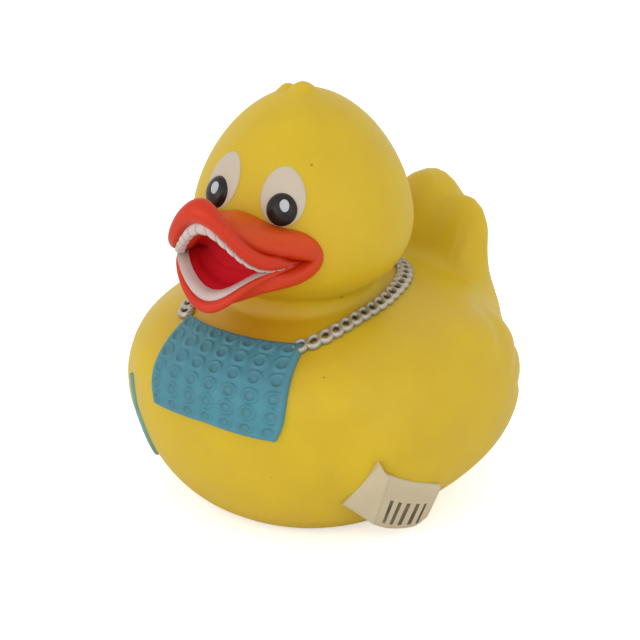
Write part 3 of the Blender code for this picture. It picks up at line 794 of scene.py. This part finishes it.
def make_brush(material):
    """The toothbrush on the flank: a thin handle, and a head drawn as a loop.

    Both are round ridges that follow a line on the skin. The handle's line is
    straight, and the head's is an ellipse.
    """
    turn = np.linspace(0.0, 2.0 * np.pi, 121)
    middle = BRUSH_BOTTOM_Z + 0.5 * BRUSH_HEAD_LENGTH
    loop = (BRUSH_HEAD_HALF * np.cos(turn), middle + 0.5 * BRUSH_HEAD_LENGTH * np.sin(turn))
    z = np.linspace(BRUSH_TOP_Z, BRUSH_BOTTOM_Z + BRUSH_HEAD_LENGTH, 80)
    handle = (0.0 * z - 0.3 * BRUSH_HEAD_HALF, z)
    around = np.linspace(0.0, 2.0 * np.pi, 20, endpoint=False)[None, :, None]
    for name, (across, height) in (("brush_handle", handle), ("brush_head", loop)):
        line = flank_point(across, height)
        normal = outward(line)
        side = np.cross(np.gradient(line, axis=0), normal)
        side /= np.linalg.norm(side, axis=-1, keepdims=True)
        wide = side[:, None] * np.cos(around) * BRUSH_HANDLE_HALF
        high = normal[:, None] * np.sin(around) * BRUSH_RELIEF
        rings = line[:, None] + wide + high
        face_out(make_mesh(name, rings, closed_faces(*rings.shape[:2]), material))


def near(points, centre, reach):
    """1 at the centre, falling to 0 as a bell over the reach in x, y and z."""
    return np.exp(-np.sum(((points - np.array(centre)) / np.array(reach)) ** 2, -1))


def make_skin(material):
    """The vinyl skin of the whole duck, with the vent in its base.

    Its orange tint round the bill is overspray; under the chin it is painted shade
    and bounced red light as well. Painted shade and dirt darken the crease of the
    neck, along the bib's top edge and under the wings.
    """
    rings = skin_rings(SKIN_COLUMNS, HULL_ROWS, HEAD_ROWS)
    mirrored = rings.copy()
    mirrored[..., 0] = np.abs(rings[..., 0])
    # orange tint: overspray round the bill, and painted shade with bounced red light under the chin
    overspray_and_chin_shade = near(rings, (0.0, -0.0240, 0.0430), (0.0170, 0.0080, 0.0070))
    overspray_and_chin_shade = 0.7 * overspray_and_chin_shade + 0.5 * near(rings, (0.0, -0.0250, 0.0560), (0.0200, 0.0090, 0.0080))
    # painted shade and dirt: darker in the neck crease and low under the wings
    crease = near(rings, (0.0020, -0.0240, 0.0395), (0.0130, 0.0060, 0.0016))
    shade_and_grime = 0.35 * crease + 0.20 * near(mirrored, (0.0290, -0.0200, 0.0120), (0.0080, 0.0120, 0.0050))
    values = {"overspray_and_chin_shade": np.clip(overspray_and_chin_shade, 0.0, 1.0), "shade_and_grime": np.clip(shade_and_grime, 0.0, 1.0)}
    piece = make_mesh("duck_skin", rings, closed_faces(*rings.shape[:2]), material, values)
    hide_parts("duck")
    return face_out(piece)


def make_finish():
    """A shader group for moulded, painted vinyl that has been handled, and for painted shade.

    The paint is mottled by a soft noise, painted shade and dirt darken it where the
    crevice mask is high, and a few dark specks sit where a cell pattern's centres are close.
    """
    group = bpy.data.node_groups.new("vinyl_paint_and_shade", "ShaderNodeTree")
    for way, kind, names in (
        ("INPUT", "NodeSocketColor", ("Paint", "Shade and dirt")),
        ("INPUT", "NodeSocketFloat", ("Crevice", "Mottle", "Specks", "Sheen")),
        ("OUTPUT", "NodeSocketColor", ("Colour",)),
        ("OUTPUT", "NodeSocketFloat", ("Roughness", "Height")),
    ):
        for name in names:
            group.interface.new_socket(name, in_out=way, socket_type=kind)
    into = group.nodes.new("NodeGroupInput")
    out = group.nodes.new("NodeGroupOutput")
    place = group.nodes.new("ShaderNodeTexCoord").outputs["Object"]
    soft = noise(group, place, 130.0, 3.0)
    fine = noise(group, place, 900.0, 4.0)
    cells = group.nodes.new("ShaderNodeTexVoronoi")
    cells.inputs["Scale"].default_value = 130.0
    group.links.new(place, cells.inputs["Vector"])
    dot = spread(group, cells.outputs["Distance"], 0.030, 0.055, 1.0, 0.0)
    rare = spread(group, cells.outputs["Color"], 0.62, 0.66, 0.0, 1.0)
    speck = times(group, times(group, dot, rare), into.outputs["Specks"])
    darker = times(group, spread(group, soft, 0.35, 0.70, 1.0, 0.0), into.outputs["Mottle"])
    # painted shade and dirt where the crevice mask is high
    edge = times(group, into.outputs["Crevice"], spread(group, fine, 0.30, 0.70, 0.55, 1.0))
    mottled = mixed(group, darker, into.outputs["Paint"], into.outputs["Shade and dirt"])
    shaded_and_grimy = mixed(group, edge, mottled, into.outputs["Shade and dirt"])
    specked = mixed(group, speck, shaded_and_grimy, (0.10, 0.07, 0.03, 1.0))
    group.links.new(specked, out.inputs["Colour"])
    rougher = times(group, spread(group, soft, 0.30, 0.75, 0.85, 1.15), into.outputs["Sheen"])
    group.links.new(rougher, out.inputs["Roughness"])
    group.links.new(fine, out.inputs["Height"])
    return group


def noise(tree, place, scale, detail):
    """A noise value between 0 and 1 on the given coordinates."""
    node = tree.nodes.new("ShaderNodeTexNoise")
    node.inputs["Scale"].default_value = scale
    node.inputs["Detail"].default_value = detail
    tree.links.new(place, node.inputs["Vector"])
    return node.outputs["Fac"]


def spread(tree, value, low, high, first, last):
    """The value's range from low to high, carried to first and last."""
    node = tree.nodes.new("ShaderNodeMapRange")
    for name, number in (("From Min", low), ("From Max", high), ("To Min", first), ("To Max", last)):
        node.inputs[name].default_value = number
    tree.links.new(value, node.inputs["Value"])
    return node.outputs["Result"]


def times(tree, first, second):
    """The product of two values."""
    node = tree.nodes.new("ShaderNodeMath")
    node.operation = "MULTIPLY"
    tree.links.new(first, node.inputs[0])
    tree.links.new(second, node.inputs[1])
    return node.outputs[0]


def mixed(tree, share, first, second):
    """Two colours mixed by a share; either may be a socket or four numbers."""
    node = tree.nodes.new("ShaderNodeMix")
    node.data_type = "RGBA"
    tree.links.new(share, node.inputs["Factor"])
    for name, colour in (("A", first), ("B", second)):
        socket = [item for item in node.inputs if item.name == name and item.type == "RGBA"][0]
        if isinstance(colour, tuple):
            socket.default_value = colour
        else:
            tree.links.new(colour, socket)
    return [item for item in node.outputs if item.type == "RGBA"][0]


def mask(tree, name):
    """A value kept at the mesh's points."""
    node = tree.nodes.new("ShaderNodeAttribute")
    node.attribute_name = name
    return node.outputs["Fac"]


def painted(name, finish, paint, shade_and_dirt, roughness, mottle=0.25, specks=0.0, bump=0.05, **extra):
    """A Principled material over the shared finish.

    crevice names the point value that holds painted shade and dirt. layers are pairs
    of a point value and the paint that it lays over the ones before.
    """
    material = bpy.data.materials.new(name)
    material.use_nodes = True
    tree = material.node_tree
    shader = tree.nodes["Principled BSDF"]
    coat = tree.nodes.new("ShaderNodeGroup")
    coat.node_tree = finish
    coat.inputs["Paint"].default_value = (*paint, 1.0)
    coat.inputs["Shade and dirt"].default_value = (*shade_and_dirt, 1.0)
    coat.inputs["Crevice"].default_value = 0.0
    coat.inputs["Mottle"].default_value = mottle
    coat.inputs["Specks"].default_value = specks
    coat.inputs["Sheen"].default_value = roughness
    colour = (*paint, 1.0)
    for label, other in extra.get("layers", ()):
        colour = mixed(tree, mask(tree, label), colour, (*other, 1.0))
        tree.links.new(colour, coat.inputs["Paint"])
    if "crevice" in extra:
        tree.links.new(mask(tree, extra["crevice"]), coat.inputs["Crevice"])
    tree.links.new(coat.outputs["Colour"], shader.inputs["Base Color"])
    tree.links.new(coat.outputs["Roughness"], shader.inputs["Roughness"])
    relief = tree.nodes.new("ShaderNodeBump")
    relief.inputs["Strength"].default_value = bump
    relief.inputs["Distance"].default_value = 0.0002
    tree.links.new(coat.outputs["Height"], relief.inputs["Height"])
    tree.links.new(relief.outputs["Normal"], shader.inputs["Normal"])
    shader.inputs["Metallic"].default_value = extra.get("metallic", 0.0)
    shader.inputs["Subsurface Weight"].default_value = extra.get("glow", 0.0)
    shader.inputs["Subsurface Radius"].default_value = (1.0, 0.6, 0.15)
    shader.inputs["Subsurface Scale"].default_value = 0.004
    shader.inputs["Specular IOR Level"].default_value = extra.get("shine", 0.35)
    shader.inputs["Coat Weight"].default_value = extra.get("varnish", 0.0)
    shader.inputs["Coat Roughness"].default_value = 0.12
    return material


def make_stage():
    """A pale floor that shows white to the camera and keeps the shadow."""
    corners = ((-1.0, -1.0), (1.0, -1.0), (1.0, 1.0), (-1.0, 1.0))
    points = [(x * FLOOR_HALF, y * FLOOR_HALF, FLOOR_Z) for x, y in corners]
    mesh = bpy.data.meshes.new("floor")
    mesh.from_pydata(points, [], [[0, 1, 2, 3]])
    floor = bpy.data.objects.new("floor", mesh)
    bpy.context.collection.objects.link(floor)
    material = bpy.data.materials.new("pale_floor")
    material.use_nodes = True
    shader = material.node_tree.nodes["Principled BSDF"]
    shader.inputs["Base Color"].default_value = (0.94, 0.94, 0.94, 1.0)
    shader.inputs["Roughness"].default_value = 0.9
    shader.inputs["Specular IOR Level"].default_value = 0.1
    light_path = material.node_tree.nodes.new("ShaderNodeLightPath")
    strength = material.node_tree.nodes.new("ShaderNodeMath")
    strength.operation = "MULTIPLY"
    strength.inputs[1].default_value = FLOOR_SEEN
    material.node_tree.links.new(light_path.outputs["Is Camera Ray"], strength.inputs[0])
    material.node_tree.links.new(strength.outputs[0], shader.inputs["Emission Strength"])
    shader.inputs["Emission Color"].default_value = (1.0, 1.0, 1.0, 1.0)
    mesh.materials.append(material)


def make_world():
    """White where the camera, a gloss or glass looks; softer as a light."""
    world = bpy.data.worlds.new("studio")
    bpy.context.scene.world = world
    world.use_nodes = True
    tree = world.node_tree
    background = tree.nodes["Background"]
    background.inputs["Color"].default_value = (1.0, 1.0, 1.0, 1.0)
    path = tree.nodes.new("ShaderNodeLightPath")
    seen = tree.nodes.new("ShaderNodeMath")
    seen.operation = "MAXIMUM"
    either = tree.nodes.new("ShaderNodeMath")
    either.operation = "MAXIMUM"
    strength = tree.nodes.new("ShaderNodeMapRange")
    strength.inputs["To Min"].default_value = WORLD_LIGHT
    strength.inputs["To Max"].default_value = 1.0
    tree.links.new(path.outputs["Is Camera Ray"], seen.inputs[0])
    tree.links.new(path.outputs["Is Glossy Ray"], seen.inputs[1])
    tree.links.new(seen.outputs[0], either.inputs[0])
    tree.links.new(path.outputs["Is Transmission Ray"], either.inputs[1])
    tree.links.new(either.outputs[0], strength.inputs["Value"])
    tree.links.new(strength.outputs["Result"], background.inputs["Strength"])


def make_lamp(name, place, size, power):
    """A soft square lamp that looks at the middle of the duck."""
    data = bpy.data.lights.new(name, "AREA")
    data.shape = "SQUARE"
    data.size = size
    data.energy = power
    lamp = bpy.data.objects.new(name, data)
    bpy.context.collection.objects.link(lamp)
    look_at(lamp, np.array(place), np.array(VIEW_TARGET))


def look_at(item, place, target):
    """Put an object at a place with its -Z axis towards the target."""
    back = (place - target) / np.linalg.norm(place - target)
    right = np.cross([0.0, 0.0, 1.0], back)
    right /= np.linalg.norm(right)
    up = np.cross(back, right)
    matrix = np.eye(4)
    matrix[:3, 0], matrix[:3, 1], matrix[:3, 2], matrix[:3, 3] = right, up, back, place
    item.matrix_world = matrix.T.tolist()


def make_camera():
    """The photograph's camera."""
    data = bpy.data.cameras.new("camera")
    data.lens = VIEW_LENS
    data.shift_x, data.shift_y = VIEW_SHIFT
    data.clip_start = 0.01
    camera = bpy.data.objects.new("camera", data)
    bpy.context.collection.objects.link(camera)
    target = np.array(VIEW_TARGET)
    reach = aim(np.radians(VIEW_TURN), np.radians(VIEW_RISE)) * VIEW_DISTANCE
    look_at(camera, target + reach, target)
    bpy.context.scene.camera = camera


def build():
    """Every piece of the duck, in its own paint."""
    finish = make_finish()
    # vinyl: the orange layer is overspray, and painted shade with bounced red light under the chin; the
    # crevice darkening is painted shade and dirt
    vinyl = painted(
        "vinyl", finish, (0.640, 0.442, 0.012), (0.500, 0.310, 0.012), 0.48, 0.22, 0.8, 0.06,
        layers=(("overspray_and_chin_shade", (0.600, 0.280, 0.008)),), crevice="shade_and_grime", glow=0.35,
    )
    red = painted(
        "bill_red", finish, (0.600, 0.032, 0.004), (0.480, 0.018, 0.004), 0.42, 0.45, 0.0, 0.08,
        layers=(
            ("orange", (0.660, 0.110, 0.004)),
            ("inside", (0.700, 0.012, 0.030)),
            ("palate", (0.640, 0.060, 0.012)),
        ),
        varnish=0.05, shine=0.25,
    )
    tooth = painted(
        "tooth_white", finish, (0.640, 0.520, 0.480), (0.420, 0.300, 0.270), 0.42, 0.3, 0.0, 0.06,
        crevice="joint", varnish=0.2,
    )
    white = painted("eye_white", finish, (0.560, 0.480, 0.370), (0.480, 0.400, 0.300), 0.5, 0.2)
    black = painted(
        "pupil_black", finish, (0.010, 0.007, 0.005), (0.020, 0.013, 0.009), 0.30, 0.2,
        varnish=0.10, shine=0.25,
    )
    glint = painted("glint_white", finish, (0.480, 0.500, 0.520), (0.40, 0.42, 0.44), 0.45, 0.2)
    # bib: its darker colour is painted shade in the ovals, and painted shade and dirt along the top edge
    teal = painted(
        "bib_teal", finish, (0.066, 0.255, 0.315), (0.050, 0.100, 0.110), 0.50, 0.25, 0.0, 0.10,
        crevice="shade_and_grime",
    )
    # chain: its dark colour is painted shade under and inside each link
    silver = painted(
        "chain_silver", finish, (0.540, 0.510, 0.420), (0.070, 0.058, 0.040), 0.34, 0.3, 0.0, 0.20,
        crevice="wire_shade", metallic=0.55,
    )
    # packet: its second colour is painted shade along the fold
    cream = painted(
        "packet_cream", finish, (0.590, 0.500, 0.330), (0.400, 0.320, 0.200), 0.5, 0.25,
        layers=(("print", (0.050, 0.040, 0.025)),), crevice="fold_shade",
    )
    mint = painted("brush_teal", finish, (0.180, 0.360, 0.310), (0.130, 0.240, 0.200), 0.5, 0.4)
    make_skin(vinyl)
    make_bill(red)
    make_teeth("upper_teeth", *UPPER_TEETH, tooth)
    make_teeth("lower_teeth", *LOWER_TEETH, tooth)
    make_eyes(white, black, glint)
    make_bib(teal)
    make_chain(silver)
    make_packet(cream)
    make_brush(mint)


build()
make_stage()
make_world()
for lamp in LAMPS:
    make_lamp(*lamp)
make_camera()
bpy.context.scene.view_settings.view_transform = "Standard"
